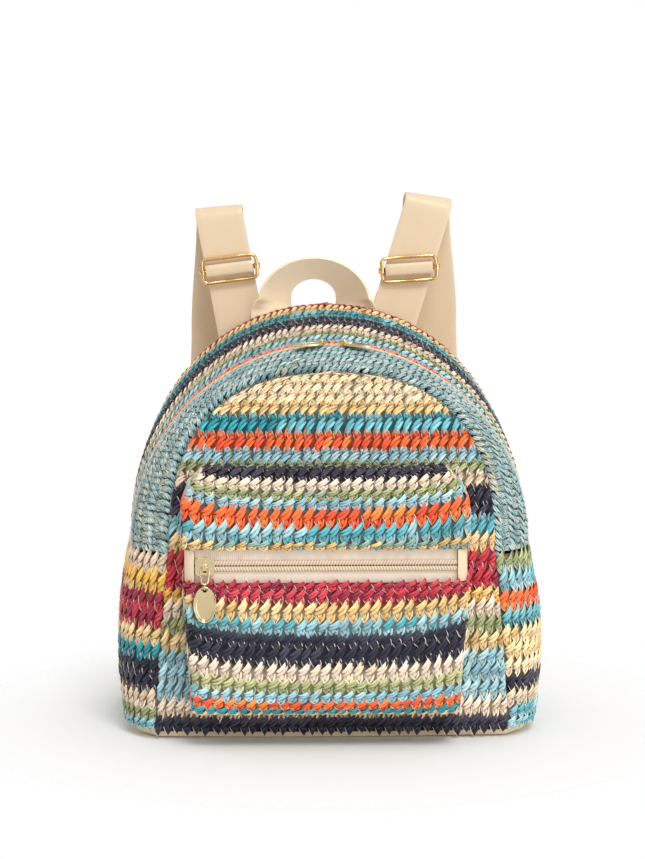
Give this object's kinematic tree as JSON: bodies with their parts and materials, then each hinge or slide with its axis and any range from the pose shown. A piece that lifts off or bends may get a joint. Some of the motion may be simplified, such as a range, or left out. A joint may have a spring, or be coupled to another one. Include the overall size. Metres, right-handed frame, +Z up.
{
  "type": "straw backpack",
  "caption": "Small domed backpack of striped crocheted straw with a two-way zip, a zipped front pocket, webbing straps with wire adjusters and a grab handle.",
  "frame": {"origin": "middle of the flat base where the bag stands, under the arch of the main zip's springing line", "axes": "+X to the right of someone facing the front pocket, +Y towards the straps, +Z up"},
  "size_m": [0.2448, 0.1835, 0.3018],
  "materials": {
    "straw_weave": "crocheted paper straw in horizontal courses of many colours, slightly glossy",
    "light_blue_straw": "crocheted paper straw, light blue",
    "cream_cloth": "plain woven cream cloth",
    "cream_webbing": "smooth satin webbing",
    "zip_tape": "plain zip tape",
    "nylon_coil": "moulded nylon coil",
    "pale_gold": "polished pale gold plating"
  },
  "bodies": {
    "bag": {"front_panel": "straw_weave", "front_gusset": "light_blue_straw", "rear_gusset": "straw_weave", "side_panel_left": "straw_weave", "side_panel_right": "straw_weave", "back_panel": "straw_weave", "base_panel": "cream_cloth", "main_zip_tape_rear": "zip_tape", "main_zip_tape_front": "zip_tape", "main_zip_coil_rear": "nylon_coil", "main_zip_coil_front": "nylon_coil", "pocket_upper": "straw_weave", "pocket_lower": "straw_weave", "pocket_zip_tape_upper": "zip_tape", "pocket_zip_coil_upper": "nylon_coil", "pocket_zip_tape_lower": "zip_tape", "pocket_zip_coil_lower": "nylon_coil", "pocket_zip_tab_left": "cream_cloth", "pocket_zip_tab_right": "cream_cloth", "strap_left": "cream_webbing", "strap_ring_left": "pale_gold", "strap_ring_tab_left": "cream_webbing", "strap_foot_tab_left": "cream_cloth", "strap_right": "cream_webbing", "strap_ring_right": "pale_gold", "strap_ring_tab_right": "cream_webbing", "strap_foot_tab_right": "cream_cloth", "handle": "cream_webbing"},
    "main_left_slider_body": {"main_left_slider": "pale_gold"},
    "main_left_link_body": {"main_left_link": "pale_gold"},
    "main_left_ring_body": {"main_left_ring": "pale_gold"},
    "main_left_tag_body": {"main_left_tag": "pale_gold"},
    "main_right_slider_body": {"main_right_slider": "pale_gold"},
    "main_right_link_body": {"main_right_link": "pale_gold"},
    "main_right_ring_body": {"main_right_ring": "pale_gold"},
    "main_right_tag_body": {"main_right_tag": "pale_gold"},
    "pocket_slider_body": {"pocket_slider": "pale_gold"},
    "pocket_link_body": {"pocket_link": "pale_gold"},
    "pocket_ring_body": {"pocket_ring": "pale_gold"},
    "pocket_tag_body": {"pocket_tag": "pale_gold"},
    "adjuster_left": {"adjuster_frame_left": "pale_gold", "adjuster_bar_left": "pale_gold", "strap_end_left": "cream_webbing"},
    "adjuster_right": {"adjuster_frame_right": "pale_gold", "adjuster_bar_right": "pale_gold", "strap_end_right": "cream_webbing"}
  },
  "joints": [
    {"name": "main_left_zip", "type": "hinge", "parent": "bag", "child": "main_left_slider_body", "pos_m": [0, -0.016, 0.106], "axis": [0, -1, 0], "range_deg": [0, 81]},
    {"name": "main_right_zip", "type": "hinge", "parent": "bag", "child": "main_right_slider_body", "pos_m": [0, -0.016, 0.106], "axis": [0, 1, 0], "range_deg": [0, 81]},
    {"name": "pocket_zip", "type": "slide", "parent": "bag", "child": "pocket_slider_body", "axis": [1, 0, 0], "range_m": [0, 0.1325]},
    {"name": "main_left_link_hinge", "type": "hinge", "parent": "main_left_slider_body", "child": "main_left_link_body", "pos_m": [-0.00478, -0.016, 0.21985], "axis": [-0.9991, 0, -0.0419], "range_deg": [0, 150]},
    {"name": "main_left_ring_hinge", "type": "hinge", "parent": "main_left_link_body", "child": "main_left_ring_body", "pos_m": [-0.00487, -0.02527, 0.2219], "axis": [0.9991, 0, 0.0419], "range_deg": [-90, 0]},
    {"name": "main_left_tag_hinge", "type": "hinge", "parent": "main_left_ring_body", "child": "main_left_tag_body", "pos_m": [-0.00481, -0.02811, 0.22064], "axis": [-0.0419, 0, 0.9991], "range_deg": [0, 60]},
    {"name": "main_right_link_hinge", "type": "hinge", "parent": "main_right_slider_body", "child": "main_right_link_body", "pos_m": [0.00783, -0.016, 0.21968], "axis": [-0.9976, 0, 0.0687], "range_deg": [0, 150]},
    {"name": "main_right_ring_hinge", "type": "hinge", "parent": "main_right_link_body", "child": "main_right_ring_body", "pos_m": [0.00797, -0.02527, 0.22173], "axis": [0.9976, 0, -0.0687], "range_deg": [-90, 0]},
    {"name": "main_right_tag_hinge", "type": "hinge", "parent": "main_right_ring_body", "child": "main_right_tag_body", "pos_m": [0.00788, -0.02811, 0.22047], "axis": [-0.0687, 0, -0.9976], "range_deg": [0, 60]},
    {"name": "pocket_link_hinge", "type": "hinge", "parent": "pocket_slider_body", "child": "pocket_link_body", "pos_m": [-0.07045, -0.09095, 0.104], "axis": [-1, 0, 0], "range_deg": [0, 150]},
    {"name": "pocket_ring_hinge", "type": "hinge", "parent": "pocket_link_body", "child": "pocket_ring_body", "pos_m": [-0.07045, -0.09325, 0.09478], "axis": [1, 0, 0], "range_deg": [-80, 5]},
    {"name": "pocket_tag_hinge", "type": "hinge", "parent": "pocket_ring_body", "child": "pocket_tag_body", "pos_m": [-0.07045, -0.09325, 0.09168], "axis": [0, -1, 0], "range_deg": [-42, 42]},
    {"name": "adjuster_left_slide", "type": "slide", "parent": "bag", "child": "adjuster_left", "axis": [-0.1873, 0.1168, 0.9753], "range_m": [-0.006, 0.016]},
    {"name": "adjuster_right_slide", "type": "slide", "parent": "bag", "child": "adjuster_right", "axis": [0.2932, 0.1044, 0.9503], "range_m": [-0.008, 0.018]}
  ]
}
